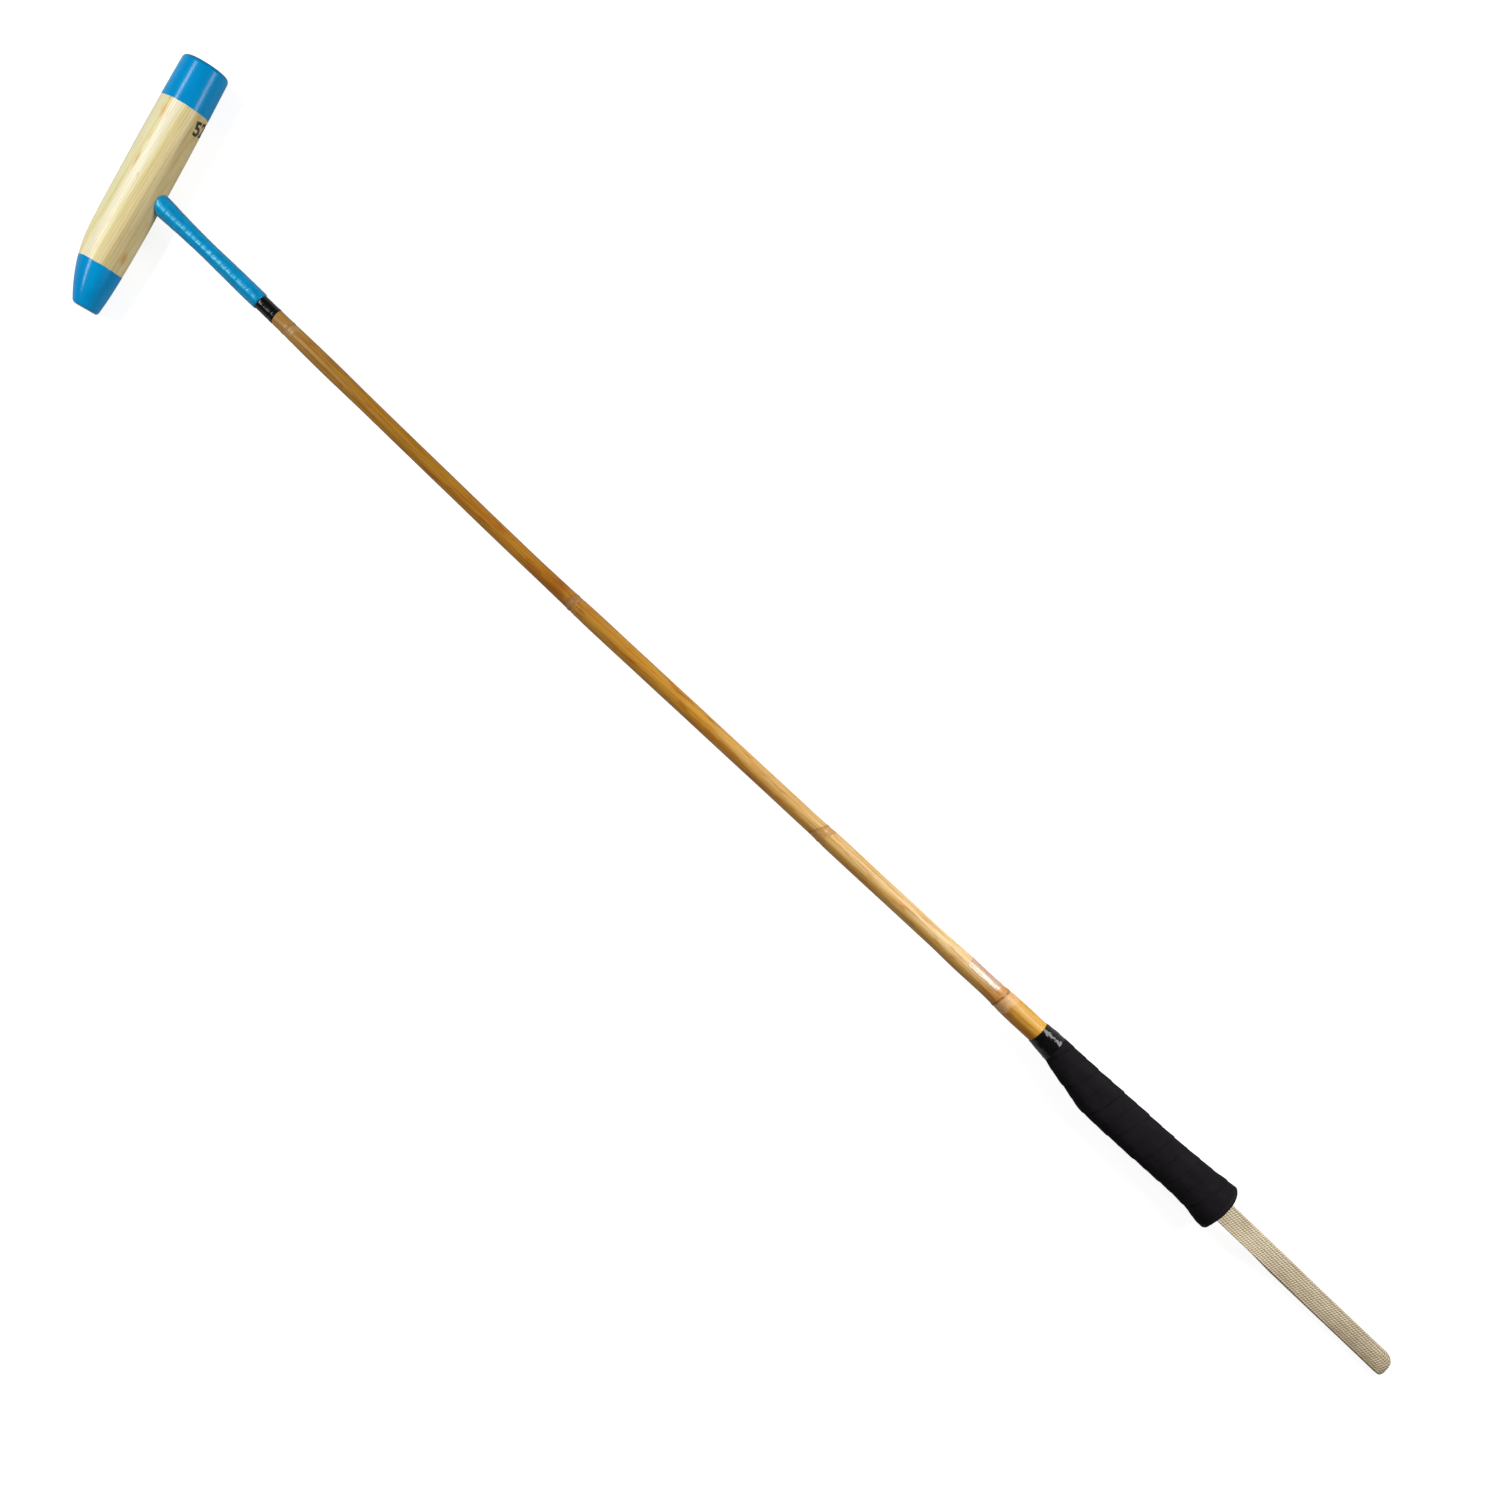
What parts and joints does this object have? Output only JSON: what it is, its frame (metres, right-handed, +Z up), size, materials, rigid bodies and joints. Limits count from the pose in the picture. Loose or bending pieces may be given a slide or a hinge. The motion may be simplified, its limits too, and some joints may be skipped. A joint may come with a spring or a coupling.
{
  "type": "polo mallet",
  "caption": "Polo mallet with a turned hardwood head on a tapered cane, blue wound binding at the neck, a black wound grip and a flat webbing wrist loop.",
  "frame": {"origin": "centre of the footprint, on the ground that the mallet lies on", "axes": "+X along the cane from the head to the butt, +Z up, and the toe of the head points towards -Y"},
  "size_m": [1.5548, 0.2328, 0.0454],
  "materials": {
    "head_wood": "pale hardwood under clear lacquer",
    "head_enamel": "blue enamel on the two ends of the head",
    "wedge_wood": "plain hardwood",
    "cane": "satin lacquered cane",
    "blue_tape": "wound tape under a glossy coat",
    "black_tape": "glossy tape",
    "label_film": "clear film",
    "core_wood": "plain, glued",
    "over_grip": "matte, perforated",
    "cap_rubber": "matte",
    "webbing": "woven cotton",
    "pin_steel": "plain"
  },
  "bodies": {
    "mallet": {"head_body": "head_wood", "head_wedge": "wedge_wood", "cane_shaft": "cane", "neck_binding": "blue_tape", "neck_tape": "black_tape", "cane_label": "label_film", "handle_block": "core_wood", "handle_cheek_left": "core_wood", "handle_cheek_right": "core_wood", "grip_wrap": "over_grip", "grip_neck_tape": "black_tape", "butt_cap": "cap_rubber", "strap_tail": "webbing", "strap_pin_near": "pin_steel", "strap_pin_far": "pin_steel"},
    "strap": {"wrist_strap": "webbing"}
  },
  "joints": [
    {"name": "strap_swing", "type": "hinge", "parent": "mallet", "child": "strap", "pos_m": [0.57292, 0.0014, 0.01984], "axis": [0, -1, 0], "range_deg": [-75, 90]}
  ]
}
